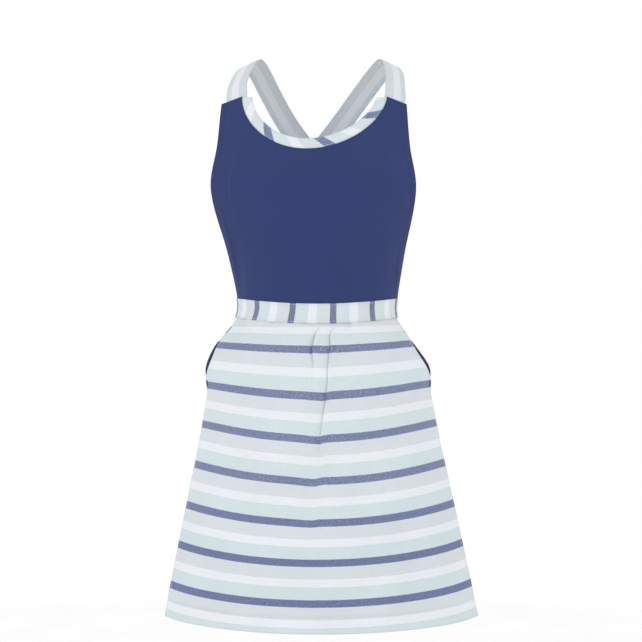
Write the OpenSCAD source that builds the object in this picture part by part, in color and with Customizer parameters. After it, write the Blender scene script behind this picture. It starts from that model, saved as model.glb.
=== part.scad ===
// Butcher apron with a dress-shaped bib, in the shape that it takes when it is worn.
// Millimetres. The origin lies between the two shoulder straps, where they rest on the
// wearer's shoulders. -Y is the front, +Z is up, and left and right are the wearer's.
// Every cloth piece is a closed sheet that follows one smooth skin round the wearer.

/* [Body] */
// Width of the waist
waist_w = 242; // [228:2:264]
// Depth of the waist, front to back
waist_d = 196; // [180:2:212]
// Width of the hips
hip_w = 350; // [330:2:370]
// Width of the bust
bust_w = 356; // [340:2:372]

/* [Bib] */
// Height of the waist seam below the shoulders
waist_drop = 372; // [352:2:392]
// Height of the strap seams below the shoulders
bib_drop = 60; // [52:1:66]
// Width of the neckline between the straps
neck_w = 218; // [200:2:230]
// Depth of the neckline below the strap seams
neck_dip = 84; // [60:2:100]
// Width of the bias band round the neckline
band_w = 16; // [10:1:20]

/* [Skirt] */
// Length of the skirt below the waistband
skirt_len = 448; // [400:4:500]
// Height of the waistband
waistband_h = 30; // [24:1:36]
// Depth of the pocket bags below the waistband
pocket_deep = 165; // [140:5:190]

/* [Straps and ties] */
// Width of the shoulder straps
strap_w = 33; // [26:1:36]
// Width of the waist ties
tie_w = 30; // [22:1:32]
// Reach of each bow loop from the knot
loop_reach = 104; // [80:2:120]
// Length of each tie's hanging tail
tail_len = 330; // [200:10:400]
// Diameter of the strap buttons
button_d = 18; // [14:1:22]

/* [Cloth] */
// Thickness of one layer of cloth
cloth_t = 0.8; // [0.6:0.1:1]

/* [Hidden] */

// Colours of the cloth
navy = [0.2, 0.24, 0.42];
stripe = [0.84, 0.88, 0.9];
pearl = [0.93, 0.93, 0.9];

// Sides of the wearer
LEFT = 1;
RIGHT = -1;

// Gap between layers of cloth that lie on each other
gap = 0.4;
// How far a raw edge runs into the seam that holds it
seam = 12;
// How much lower the waistband is at the front than at the sides
waist_dip = 9;
// Angles round the body, from the front: where the waistband, the skirt and the pockets end
band_end = 122;
skirt_top_edge = 80;
skirt_hem_edge = 70;
pocket_inner_edge = 38;
// How far the pocket opening is cut back from the skirt's edge, and how far its back reaches
mouth_cut = 9.5;
mouth_wrap = 12;
// Height of the pocket opening, and how far below the waistband it starts
mouth_h = 80;
mouth_drop = 10;
// Room in a pocket for a hand, and at its mouth
pocket_room = 12;
mouth_room = 9;
// How far the bottom of the neckline lies towards the wearer's right, as a share of its half width
neck_skew = 0.08;
// How square the neckline is at its top corners: 1 is an ellipse, and more is straighter
neck_round = 1.15;
// Thickness of a strap, a tie, the bow's ribbon and the button
strap_t = 1.4;
tie_t = 1.2;
button_t = 3;
// How far the bow's knot stands behind the wearer's back, and its height
knot_back = 13;
knot_h = 34;

waist_z = -waist_drop;
hem_z = waist_z - waistband_h - skirt_len;
tie_z = waist_z + waist_dip - waistband_h / 2;

// Rows of the skin: height, half width, half depth in front, half depth behind, centre in y,
// sideways sway, and the angle of the bib's edge
SKIN = [
    [12, 208, 50, 40, 25, 0, 40],
    [-20, 205, 70, 48, 22, -4, 42],
    [-65, 200, 90, 58, 14, -10, 44],
    [-135, bust_w / 2 + 9, 112, 90, 2, -12, 50],
    [-200, bust_w / 2, 122, 103, -5, -12, 59],
    [-300, (bust_w / 2 + waist_w / 2) * 0.472, 110, 90, -2, -7.5, 69],
    [waist_z, waist_w / 2 + 0.5, waist_d / 2, waist_d / 2, 0, -5.5, 82],
    [waist_z - waistband_h, waist_w / 2 + 7.5, waist_d / 2 + 2, waist_d / 2, 0, -7.2, 82],
    [waist_z - 61, hip_w / 2 - 20, waist_d / 2 + 14, waist_d / 2, 0, -9, 82],
    [waist_z - 98, hip_w / 2, waist_d / 2 + 26, waist_d / 2, 2, -5, 82],
    [waist_z - 143, hip_w / 2, waist_d / 2 + 36, waist_d / 2, 7, -3, 82],
    [hem_z, hip_w / 2 + 80, waist_d / 2 + 129, waist_d / 2, 62, 1, 82]
];

// ---- curves ----

function mix(a, b, t) = a + (b - a) * t;
function clamp01(t) = max(0, min(1, t));
function ease(t) = let (c = clamp01(t)) c * c * (3 - 2 * c);
function unit(v) = v / norm(v);
function steps(a, b, n) = [for (i = [0:n]) mix(a, b, i / n)];
// A hump that is 0 at both ends of [0, 1] and 1 in the middle
function hump(t) = let (c = clamp01(t)) sin(180 * c);

// The slope of value k at row i of a table, for a smooth curve through its rows
function row_slope(rows, i, k) =
    let (a = rows[max(0, i - 1)], b = rows[min(len(rows) - 1, i + 1)])
    (b[k] - a[k]) / (b[0] - a[0]);

// Value k of a table at place s, on a smooth curve through its rows
function on_curve(rows, s, k) =
    let (
        down = rows[1][0] < rows[0][0],
        passed = [for (i = [0:len(rows) - 2]) if (down ? s <= rows[i][0] : s >= rows[i][0]) i],
        i = len(passed) == 0 ? 0 : max(passed),
        a = rows[i], b = rows[i + 1], h = b[0] - a[0], t = clamp01((s - a[0]) / h),
        ma = row_slope(rows, i, k) * h, mb = row_slope(rows, i + 1, k) * h
    )
    a[k] * (2 * t ^ 3 - 3 * t ^ 2 + 1) + ma * (t ^ 3 - 2 * t ^ 2 + t)
    + b[k] * (3 * t ^ 2 - 2 * t ^ 3) + mb * (t ^ 3 - t ^ 2);

// ---- the skin round the wearer ----

// The point of the skin at an angle from the front and a height
function skin(angle, z) =
    let (deep = on_curve(SKIN, z, cos(angle) > 0 ? 2 : 3))
    [on_curve(SKIN, z, 5) + on_curve(SKIN, z, 1) * sin(angle),
     on_curve(SKIN, z, 4) - deep * cos(angle), z];

// The outward direction of the skin there
function skin_normal(angle, z) =
    unit(cross(skin(angle + 0.5, z) - skin(angle - 0.5, z), skin(angle, z + 1) - skin(angle, z - 1)));

// The angle at which the skin is x away from its middle, at a height
function skin_angle(x, z) = asin(max(-1, min(1, x / on_curve(SKIN, z, 1))));

// ---- solids ----

// Faces of a closed sheet whose points are two grids of nu by nv, one above the other
function sheet_faces(nu, nv) =
    let (at = function(side, i, j) side * nu * nv + i * nv + j)
    concat(
        [for (i = [0:nu - 2], j = [0:nv - 2], side = [0, 1], half = [0, 1])
            let (a = at(side, i, j), b = at(side, i + 1, j),
                 c = at(side, i + 1, j + 1), d = at(side, i, j + 1),
                 f = half == 0 ? [a, b, c] : [a, c, d])
            side == 0 ? f : [f[2], f[1], f[0]]],
        [for (j = [0:nv - 2], end = [0, nu - 1], half = [0, 1])
            let (a = at(0, end, j), b = at(0, end, j + 1), c = at(1, end, j + 1), d = at(1, end, j),
                 f = half == 0 ? [a, b, c] : [a, c, d])
            end == 0 ? f : [f[2], f[1], f[0]]],
        [for (i = [0:nu - 2], end = [0, nv - 1], half = [0, 1])
            let (a = at(0, i, end), b = at(0, i + 1, end), c = at(1, i + 1, end), d = at(1, i, end),
                 f = half == 0 ? [c, b, a] : [d, c, a])
            end == 0 ? f : [f[2], f[1], f[0]]]
    );

// A closed sheet over a grid: place(u, v) gives the angle and height, and depth(u, v) gives
// how far outside the skin its inner face lies
module sheet(us, vs, place, depth, thick) {
    spots = [for (u = us, v = vs) let (p = place(u, v))
        [skin(p[0], p[1]), skin_normal(p[0], p[1]), depth(u, v)]];
    points = [for (out = [0, thick], s = spots) s[0] + s[1] * (s[2] + out)];
    polyhedron(points, sheet_faces(len(us), len(vs)));
}

// A flat ribbon along a path: rows hold a place along it, a point and an outward direction,
// and width(t) gives its width
module ribbon(rows, n, width, thick) {
    first = rows[0][0];
    last = rows[len(rows) - 1][0];
    at = function(s) [for (k = [1:3]) on_curve(rows, s, k)];
    facing = function(s) [for (k = [4:6]) on_curve(rows, s, k)];
    frames = [for (s = steps(first, last, n))
        let (d = (last - first) / n / 4,
             along = unit(at(min(last, s + d)) - at(max(first, s - d))),
             across = unit(cross(along, facing(s))))
        [at(s), across, cross(across, along), width((s - first) / (last - first)) / 2]];
    points = [for (out = [-0.5, 0.5], f = frames, side = [1, 0, -1])
        f[0] + f[1] * side * f[3] + f[2] * out * thick];
    polyhedron(points, sheet_faces(n + 1, 3));
}

// ---- bib ----

// A point of the neckline, from -90 at the right strap to 90 at the left one: [x from the
// middle, height], moved inwards by a distance
function neckline(turn, inward = 0) =
    let (
        s = sin(turn), k = neck_skew,
        u = (1 - sqrt(1 - 4 * k * (s - k))) / (2 * k),
        cut = [neck_w / 2 * u, -bib_drop - neck_dip * max(0, cos(turn)) ^ neck_round],
        out = unit([sin(turn) / neck_w * 2, -cos(turn) / neck_dip])
    )
    cut - out * inward;

// The bib's top outline at column t from -1 to 1: the strap seams, with the neckline between
neck_share = 0.8;
top_drop = 11;
function bib_top(t) =
    abs(t) <= neck_share ? neckline(90 * t / neck_share) :
    let (s = (abs(t) - neck_share) / (1 - neck_share),
         outer = on_curve(SKIN, -bib_drop - top_drop, 1) * sin(on_curve(SKIN, -bib_drop - top_drop, 6)))
    [sign(t) * mix(neck_w / 2, outer, s), -bib_drop - top_drop * s];

// The skin angle and height of the bib at column t and share v of its height
function bib_place(t, v) =
    let (
        top = bib_top(t),
        share = skin_angle(top[0], top[1]) / on_curve(SKIN, top[1], 6),
        low = waist_z - waist_dip * 0.25 - seam + waist_dip * 0.6 * share ^ 2,
        z = mix(low, top[1], v)
    )
    [share * on_curve(SKIN, z, 6), z];

// Rows of the bib's height, closer together at the waist
BIB_ROWS = concat([0, 0.03, 0.06, 0.1], steps(0.15, 1, 16));

module bib_panel() {
    color(navy) sheet(steps(-1, 1, 40), BIB_ROWS,
        function(t, v) bib_place(t, v), function(t, v) 0, cloth_t);
}

module neck_band() {
    color(stripe) sheet(steps(-88, 88, 36), [-5, 0, band_w / 2, band_w],
        function(turn, w) let (p = neckline(turn, w)) [skin_angle(p[0], p[1]), p[1]],
        function(turn, w) -gap - cloth_t, cloth_t);
}

// The turned-in edge of an armhole, on the inside of the bib, from the waistband to the strap
facing_w = 13;
module armhole_facing(side) {
    rows = [for (i = [2:len(BIB_ROWS) - 2]) BIB_ROWS[i]];
    color(navy) sheet([0, 0.5, 1], rows,
        function(u, v) let (p = bib_place(side, v),
            turn = facing_w / on_curve(SKIN, p[1], 1) * 70)
            side == LEFT ? [p[0] - turn * (1 - u) - 0.3, p[1]] : [p[0] + turn * u + 0.3, p[1]],
        function(u, v) -gap - cloth_t, cloth_t);
}

// ---- shoulder straps ----

// Rows of the left strap: place, point and outward direction. It starts behind the bib,
// passes over the shoulder, crosses the back and ends on the waistband's other end
strap_angle = 41;
button_angle = 113;
start_out = -3 * gap - cloth_t - strap_t / 2;
end_out = 2 * cloth_t + 3 * gap + strap_t / 2;
function strap_rows(lift) =
    let (
        sewn = function(place, angle, z, out) let (n = skin_normal(angle, z))
            concat([place], skin(angle, z) + n * out - [on_curve(SKIN, z, 5), 0, 0], n)
    )
    [
        sewn(0, strap_angle - 4, -bib_drop - 24, start_out),
        sewn(14, strap_angle - 3.5, -bib_drop - 11, start_out),
        sewn(28, strap_angle - 3.5, -bib_drop + 3, start_out),
        [44, 120, -39, -40, 0.42, -0.68, 0.6],
        [68, 115, -19, -14, 0.42, -0.42, 0.8],
        [95, 106, 5, 0, 0.4, 0, 0.92],
        [125, 93, 31, -11, 0.36, 0.5, 0.8],
        [165, 73, 58, -40, 0.28, 0.82, 0.5],
        [215, 42, 79 + lift / 2, -86, 0.16, 0.96, 0.24],
        [280, 0, 93 + lift, -140, 0, 1, 0.08],
        [345, -42, 98 + lift / 2, -196, -0.16, 0.98, 0],
        [410, -73, 94, -255, -0.35, 0.94, -0.02],
        [475, -94, 81, -315, -0.58, 0.8, -0.05],
        sewn(520, -button_angle - 8, tie_z + waistband_h / 2 + 4, end_out),
        sewn(550, -button_angle, tie_z - waistband_h / 2 + 7, end_out)
    ];

// A strap shifts sideways with the body's sway
function swayed(rows, side) =
    [for (r = rows) [r[0], side * r[1] + on_curve(SKIN, r[3], 5), r[2], r[3], side * r[4], r[5], r[6]]];

// The left strap crosses over the right one. Its end has a buttonhole
module shoulder_strap(side) {
    lift = side * 2.2;
    color(stripe) difference() {
        ribbon(swayed(strap_rows(lift), side), 44, function(t) strap_w, strap_t);
        at_button(-side) buttonhole(side);
    }
}

// ---- waistband ----

// Height of the waistband's top edge at an angle
function waist_top(angle) = waist_z + waist_dip - waist_dip * (abs(angle) < 90 ? cos(angle) ^ 2 : 0);

module waistband_front() {
    color(stripe) sheet(steps(-band_end, band_end, 60), steps(0, 1, 4),
        function(a, v) [a, waist_top(a) - waistband_h * (1 - v)],
        function(a, v) cloth_t + 1.4 * gap, cloth_t);
}

module waistband_lining() {
    color(stripe) sheet(steps(-band_end + 0.5, band_end - 0.5, 60), steps(0.02, 0.98, 4),
        function(a, v) [a, waist_top(a) - waistband_h * (1 - v)],
        function(a, v) -gap - cloth_t, cloth_t);
}

// ---- skirt ----

function below(z) = clamp01((waist_z - waistband_h - z) / skirt_len);
// The skirt's finished side edge, and where the pocket opening cuts it back
function side_edge(z) = mix(skirt_top_edge, skirt_hem_edge, below(z));
function mouth(z) = hump((waist_z - waistband_h - mouth_drop - z) / mouth_h);
function skirt_edge(z) = side_edge(z) - mouth_cut * mouth(z);
function skirt_top(angle) = waist_top(angle) - waistband_h + seam - 1;

module skirt_panel() {
    rows = concat(steps(0, 0.7, 8), steps(0.76, 1, 9));
    color(stripe) sheet(steps(-1, 1, 34), rows,
        function(u, v) let (z = mix(hem_z, skirt_top(u * skirt_top_edge), v)) [u * skirt_edge(z), z],
        function(u, v) 0, cloth_t);
}

hem_h = 25;
module bottom_hem() {
    color(stripe) sheet(steps(-0.985, 0.985, 34), [0.5, hem_h / 2, hem_h],
        function(u, w) [u * side_edge(hem_z + w), hem_z + w],
        function(u, w) -gap - cloth_t, cloth_t);
}

side_hem_w = 3;
module side_hem(side) {
    low = hem_z + hem_h + 4;
    high = waist_z - waistband_h - pocket_deep - 8;
    across = side == LEFT ? [side_hem_w, side_hem_w / 2, 0.3] : [0.3, side_hem_w / 2, side_hem_w];
    color(stripe) sheet(across, steps(low, high, 10),
        function(w, z) [side * (side_edge(z) - w), z],
        function(w, z) -gap - cloth_t, cloth_t);
}

// ---- pockets ----

bag_top = waist_z - waistband_h + 3;
bag_low = waist_z - waistband_h - pocket_deep;
bag_round = 45;
// The bag's inner edge is upright, with a round bottom corner
function bag_inner(z) =
    let (s = clamp01((bag_low + bag_round - z) / bag_round))
    pocket_inner_edge + (1 - sqrt(1 - s * s)) * 14;
// How far the back of the bag stands off its lining, at share u from inner edge to mouth
function bag_room(u, z) =
    let (down = clamp01((bag_top - z) / (bag_top - bag_low)))
    pocket_room * sin(180 * u ^ 0.8) * hump(down) + mouth_room * hump(1.6 * u - 0.6) * mouth(z);

module pocket_layer(side, reach, depth, n) {
    order = side == LEFT ? steps(0, 1, n) : steps(1, 0, n);
    sheet(order, steps(bag_low, bag_top, 14),
        function(u, z) [side * mix(bag_inner(z), reach(z), u), z],
        depth, cloth_t);
}

module pocket_lining(side) {
    color(navy) pocket_layer(side, function(z) skirt_edge(z) - 0.8,
        function(u, z) -1.8 * gap - cloth_t, 10);
}

module pocket_back(side) {
    color(navy) pocket_layer(side, function(z) side_edge(z) - 1.2 + mouth_wrap * mouth(z),
        function(u, z) -2.8 * gap - 2 * cloth_t - bag_room(u, z), 14);
}

// Bar tacks: the dense stitches that hold the two ends of each pocket opening
tack = [1.6, 1, 9];
module pocket_bartacks() {
    color(navy) for (side = [LEFT, RIGHT], down = [0, mouth_h]) {
        z = waist_z - waistband_h - mouth_drop - down;
        angle = side * (side_edge(z) - 2.6);
        n = skin_normal(angle, z);
        translate(skin(angle, z) + n * (cloth_t + 2 * gap + tack[1] / 2))
            rotate([-asin(n[2]), 0, atan2(n[1], n[0]) + 90]) cube(tack, center = true);
    }
}

// A plain label that hangs from the bottom edge of the waistband's lining
label_size = [32, 0.5, 40];
label_angle = -22;
label_in = 3.6;
module care_label() {
    z = waist_top(label_angle) - waistband_h + 2;
    n = skin_normal(label_angle, z);
    out = unit([n[0], n[1], 0]);
    color(pearl) translate(skin(label_angle, z) - out * label_in)
        rotate([0, 0, atan2(n[1], n[0]) + 90])
            translate([-label_size[0] / 2, -label_size[1] / 2, -label_size[2]]) cube(label_size);
}

// ---- buttons ----

button_z = tie_z - waistband_h / 2 + 17;
button_out = end_out + strap_t / 2 + 4 * gap;
// The button's four holes, and the thread that goes through each
hole_r = 1;
hole_out = 2.1;
thread_r = 0.45;
// Puts a piece on a strap's end, over the waistband, with +Z outwards and +X down
module at_button(side) {
    angle = side * (button_angle + 3.2);
    n = skin_normal(angle, button_z);
    translate(skin(angle, button_z) + n * button_out) rotate([0, 0, atan2(n[1], n[0])]) rotate([0, 90, 0])
        children();
}

// The slit that the button goes through. It runs along the strap, and its lower end takes the pull
slit_w = 3.4;
strap_lean = 31;
module buttonhole(side) {
    deep = strap_t + 4 * gap;
    rotate([0, 0, side * strap_lean]) translate([-button_d + 2, -slit_w / 2, -deep])
        cube([button_d, slit_w, deep + 2 * gap]);
}

// A four-hole button with a raised rim
module strap_button(side) {
    r = button_d / 2;
    color(pearl) at_button(side) difference() {
        rotate_extrude($fn = 72) polygon([
            [0, 0], [r - 1.5, 0], [r, 0.9], [r, button_t - 0.9], [r - 0.9, button_t],
            [r - 2.2, button_t], [r - 3.4, button_t - 1.1], [0, button_t - 1.1]
        ]);
        for (turn = [45:90:315]) rotate([0, 0, turn]) translate([hole_out, 0, -button_t])
            cylinder(r = hole_r, h = 3 * button_t, $fn = 24);
    }
}

// The thread: a shank through the buttonhole, then up the four holes and crossed over the button
shank_r = 1.1;
module button_thread(side) {
    foot = button_out - 2 * cloth_t - 1.4 * gap - 0.2;
    color(navy) at_button(side) {
        translate([0, 0, -foot]) cylinder(r = shank_r, h = foot - 0.2, $fn = 24);
        translate([0, 0, -0.35]) cylinder(r = hole_out + 0.2, h = 0.3, $fn = 32);
        for (turn = [45, 135]) rotate([0, 0, turn]) {
            top = button_t - (turn == 45 ? 0.6 : 0.3);
            translate([0, 0, top]) rotate([0, 90, 0])
                cylinder(r = thread_r, h = 2 * hole_out, center = true, $fn = 16);
            for (x = [-hole_out, hole_out]) translate([x, 0, 0]) {
                translate([0, 0, -0.2]) cylinder(r = thread_r, h = top + 0.2, $fn = 16);
                translate([0, 0, top]) sphere(r = thread_r + 0.1, $fn = 16);
            }
        }
    }
}

// ---- ties and bow ----

// A tie runs from inside the waistband's end to the knot, and is gathered on the way
tie_start = band_end - 9;
tie_stop = 172.6;
tie_lift = 6;
module waist_tie(side) {
    share = function(angle) (abs(angle) - tie_start) / (tie_stop - tie_start);
    angles = side == LEFT ? steps(tie_start, tie_stop, 16) : steps(-tie_stop, -tie_start, 16);
    color(stripe) sheet(angles, steps(-0.5, 0.5, 4),
        function(a, v) [a, tie_z + v * mix(waistband_h - 4, tie_w * 0.5, ease(share(a)))],
        function(a, v) 0.05 + tie_lift * ease(1.5 * share(a) - 0.5), cloth_t - 0.1);
}

knot_at = skin(180, tie_z) + [0, knot_back, 0];
knot_size = [27, 17, knot_h];

module bow_knot() {
    r = 7;
    color(stripe) translate(knot_at) hull() for (x = [-1, 1], z = [-1, 1])
        translate([x * (knot_size[0] / 2 - r), 0, z * (knot_size[2] / 2 - r)])
            scale([1, knot_size[1] / r / 2, 1]) sphere(r = r, $fn = 24);
}

// A loop leaves the knot sideways, turns back in a drop shape and returns to it
loop_droop = 26;
loop_gap = 5;
module bow_loop(side) {
    root = knot_at + [side * (knot_size[0] / 2 + loop_gap), 0, 0];
    row = function(place, out, back, n_out, n_back)
        let (down = out * tan(loop_droop) * 0.8)
        [place, root[0] + side * out, root[1] + back, root[2] - down, side * n_out, n_back, 0];
    r = loop_reach - knot_size[0] / 2 - loop_gap;
    rows = [
        row(0, 0, 3, -0.35, 1),
        row(30, r * 0.3, 11, -0.3, 1),
        row(62, r * 0.68, 17, 0.05, 1),
        row(86, r * 0.94, 13, 0.8, 0.6),
        row(98, r, 5, 1, 0),
        row(110, r * 0.94, -3, 0.8, -0.6),
        row(134, r * 0.68, -7, 0.05, -1),
        row(166, r * 0.3, -6, -0.3, -1),
        row(196, 0, -3, -0.35, -1)
    ];
    color(stripe) ribbon(rows, 32, function(t) mix(tie_w * 0.34, tie_w, ease(2.2 * hump(t) - 0.2)), tie_t);
}

// A tail hangs from the knot, and swings about its top end
tail_out = 15;
module tie_tail(side) {
    top = knot_at + [side * 10, 0, -knot_h / 2 - 2];
    row = function(s, out, back, turn)
        [s, top[0] + side * out, top[1] + back, top[2] - s * tail_len, side * turn, 1, 0];
    rows = [
        row(0, 0, 0, 0.1),
        row(0.15, 4, 3, 0.35),
        row(0.4, tail_out * 0.62, 2, 0.1),
        row(0.7, tail_out * 0.85, -3, -0.25),
        row(1, tail_out, -1, 0.15)
    ];
    color(stripe) ribbon(rows, 24, function(t) mix(tie_w * 0.5, tie_w, ease(4 * t)), tie_t);
}

bib_panel();
neck_band();
armhole_facing(LEFT);  // armhole_facing_left
armhole_facing(RIGHT);  // armhole_facing_right
shoulder_strap(LEFT);  // shoulder_strap_left
shoulder_strap(RIGHT);  // shoulder_strap_right
waistband_front();
waistband_lining();
skirt_panel();
bottom_hem();
side_hem(LEFT);  // side_hem_left
side_hem(RIGHT);  // side_hem_right
pocket_back(LEFT);  // pocket_back_left
pocket_back(RIGHT);  // pocket_back_right
pocket_lining(LEFT);  // pocket_lining_left
pocket_lining(RIGHT);  // pocket_lining_right
pocket_bartacks();
care_label();
strap_button(LEFT);  // strap_button_left
strap_button(RIGHT);  // strap_button_right
button_thread(LEFT);  // button_thread_left
button_thread(RIGHT);  // button_thread_right
waist_tie(LEFT);  // waist_tie_left
waist_tie(RIGHT);  // waist_tie_right
bow_knot();
bow_loop(LEFT);  // bow_loop_left
bow_loop(RIGHT);  // bow_loop_right
tie_tail(LEFT);  // tie_tail_left
tie_tail(RIGHT);  // tie_tail_right
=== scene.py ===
"""Looks of the butcher apron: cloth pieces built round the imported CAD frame.

Lengths in this script are millimetres. Meshes are made in metres, in the row frame:
-Y is the front, +Z is up, and left and right are the wearer's.
"""

import math

import bpy
import numpy as np
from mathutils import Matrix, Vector


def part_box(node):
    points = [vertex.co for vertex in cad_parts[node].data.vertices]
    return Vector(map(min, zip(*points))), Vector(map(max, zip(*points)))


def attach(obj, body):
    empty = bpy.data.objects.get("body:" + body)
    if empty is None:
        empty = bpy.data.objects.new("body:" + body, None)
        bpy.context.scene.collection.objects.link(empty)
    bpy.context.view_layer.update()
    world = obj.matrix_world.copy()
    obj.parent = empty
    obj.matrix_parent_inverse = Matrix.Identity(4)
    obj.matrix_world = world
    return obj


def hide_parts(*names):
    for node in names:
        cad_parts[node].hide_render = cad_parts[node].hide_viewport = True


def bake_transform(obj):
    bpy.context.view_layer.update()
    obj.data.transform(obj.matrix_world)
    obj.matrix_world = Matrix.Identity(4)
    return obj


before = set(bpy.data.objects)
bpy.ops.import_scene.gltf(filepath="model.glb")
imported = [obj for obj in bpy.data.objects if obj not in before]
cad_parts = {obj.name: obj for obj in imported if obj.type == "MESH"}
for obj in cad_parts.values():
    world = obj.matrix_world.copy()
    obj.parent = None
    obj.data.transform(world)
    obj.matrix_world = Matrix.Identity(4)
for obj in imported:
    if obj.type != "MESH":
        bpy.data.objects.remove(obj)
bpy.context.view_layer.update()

MM = 0.001
LEFT, RIGHT = 1, -1
SIDES = ((LEFT, "left"), (RIGHT, "right"))


def box_of(node):
    """The low and high corners of a CAD node's box."""
    return np.array([list(corner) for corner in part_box(node)]) / MM


# ---- sizes, as the CAD model has them ----

WAIST_DIP = 9
WAIST_Z = box_of("waistband_front")[1, 2] - WAIST_DIP
HEM_Z = box_of("skirt_panel")[0, 2]
BAND_H = 30
SKIRT_TOP_Z = WAIST_Z - BAND_H
SKIRT_LEN = SKIRT_TOP_Z - HEM_Z
TIE_Z = WAIST_Z + WAIST_DIP - BAND_H / 2
WAIST_W = 242
WAIST_D = 196
HIP_W = 350
BUST_W = 356
BIB_DROP = 60
NECK_W = 218
NECK_DIP = 84
NECK_SKEW = 0.08
NECK_ROUND = 1.15
NECK_BAND_W = 16
STRAP_W = 33
TIE_W = 30
TAIL_LEN = 330
POCKET_DEEP = 165
BAND_END = 122
SKIRT_TOP_EDGE = 80
SKIRT_HEM_EDGE = 70
SEAM = 12

# Rows of the skin: height, half width, half depth in front, half depth behind, centre in y,
# sideways sway, and the angle of the bib's edge
SKIN = np.array([
    [12, 208, 50, 40, 25, 0, 40],
    [-20, 205, 70, 48, 22, -4, 42],
    [-65, 200, 90, 58, 14, -10, 44],
    [-135, BUST_W / 2 + 9, 112, 90, 2, -12, 50],
    [-200, BUST_W / 2, 122, 103, -5, -12, 59],
    [-300, (BUST_W + WAIST_W) / 2 * 0.472, 110, 90, -2, -7.5, 69],
    [WAIST_Z, WAIST_W / 2 + 0.5, WAIST_D / 2, WAIST_D / 2, 0, -5.5, 82],
    [SKIRT_TOP_Z, WAIST_W / 2 + 7.5, WAIST_D / 2 + 2, WAIST_D / 2, 0, -7.2, 82],
    [WAIST_Z - 61, HIP_W / 2 - 20, WAIST_D / 2 + 14, WAIST_D / 2, 0, -9, 82],
    [WAIST_Z - 98, HIP_W / 2, WAIST_D / 2 + 26, WAIST_D / 2, 2, -5, 82],
    [WAIST_Z - 143, HIP_W / 2, WAIST_D / 2 + 36, WAIST_D / 2, 7, -3, 82],
    [HEM_Z, HIP_W / 2 + 80, WAIST_D / 2 + 129, WAIST_D / 2, 62, 1, 82],
], float)

# ---- curves ----


def mix(a, b, t):
    return a + (b - a) * t


def ease(t):
    c = np.clip(t, 0, 1)
    return c * c * (3 - 2 * c)


def hump(t):
    return np.sin(np.pi * np.clip(t, 0, 1))


def bell(t):
    return np.exp(-t * t / 2)


def unit(v):
    return v / np.maximum(np.linalg.norm(v, axis=-1, keepdims=True), 1e-9)


def sin_d(a):
    return np.sin(np.radians(a))


def cos_d(a):
    return np.cos(np.radians(a))


def on_curve(rows, s, k):
    """Value k of a table at place s, on a smooth curve through its rows."""
    s = np.asarray(s, float)
    sign = -1 if rows[1, 0] < rows[0, 0] else 1
    place = rows[:, 0] * sign
    slope = np.empty(len(rows))
    for i in range(len(rows)):
        a, b = rows[max(0, i - 1)], rows[min(len(rows) - 1, i + 1)]
        slope[i] = (b[k] - a[k]) / (b[0] - a[0])
    i = np.clip(np.searchsorted(place, s * sign, side="right") - 1, 0, len(rows) - 2)
    h = rows[i + 1, 0] - rows[i, 0]
    t = np.clip((s - rows[i, 0]) / h, 0, 1)
    return (rows[i, k] * (2 * t**3 - 3 * t**2 + 1) + slope[i] * h * (t**3 - 2 * t**2 + t)
            + rows[i + 1, k] * (3 * t**2 - 2 * t**3) + slope[i + 1] * h * (t**3 - t**2))


def half_width(z):
    return on_curve(SKIN, z, 1)


def skin_sway(z):
    return on_curve(SKIN, z, 5)


def bib_angle(z):
    return on_curve(SKIN, z, 6)


def skin(angle, z):
    """The point of the skin round the wearer at an angle from the front and a height."""
    angle, z = np.broadcast_arrays(np.asarray(angle, float), np.asarray(z, float))
    deep = np.where(cos_d(angle) > 0, on_curve(SKIN, z, 2), on_curve(SKIN, z, 3))
    return np.stack([skin_sway(z) + half_width(z) * sin_d(angle),
                     on_curve(SKIN, z, 4) - deep * cos_d(angle), z], -1)


def skin_normal(angle, z):
    return unit(np.cross(skin(angle + 0.5, z) - skin(angle - 0.5, z),
                         skin(angle, z + 1) - skin(angle, z - 1)))


def off_skin(angle, z, out):
    return skin(angle, z) + skin_normal(angle, z) * np.asarray(out)[..., None]


def skin_angle(x, z):
    return np.degrees(np.arcsin(np.clip(x / half_width(z), -1, 1)))


def waist_top(angle):
    front = np.where(np.abs(angle) < 90, cos_d(angle) ** 2, 0)
    return WAIST_Z + WAIST_DIP - WAIST_DIP * front


def travel(points):
    """Distance along each line of points, from its first one."""
    step = np.linalg.norm(np.diff(points, axis=0), axis=-1)
    return np.concatenate([np.zeros((1,) + step.shape[1:]), np.cumsum(step, axis=0)])


def soft_noise(u, v, seed, terms=7):
    """A smooth, seeded, wandering value of about -1 to 1 over a plane."""
    rng = np.random.default_rng(seed)
    total = np.zeros(np.broadcast(u, v).shape)
    for _ in range(terms):
        fu, fv = rng.normal(0, 1, 2)
        total = total + np.sin(fu * u + fv * v + rng.uniform(0, 2 * np.pi))
    return total / math.sqrt(terms)


# ---- materials ----


def linear(colour):
    """A colour as it looks on a screen, 0 to 255, as the renderer's linear values."""
    c = np.array(colour, float) / 255
    values = np.where(c <= 0.04045, c / 12.92, ((c + 0.055) / 1.055) ** 2.4)
    return [float(x) for x in values] + [1.0]


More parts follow.
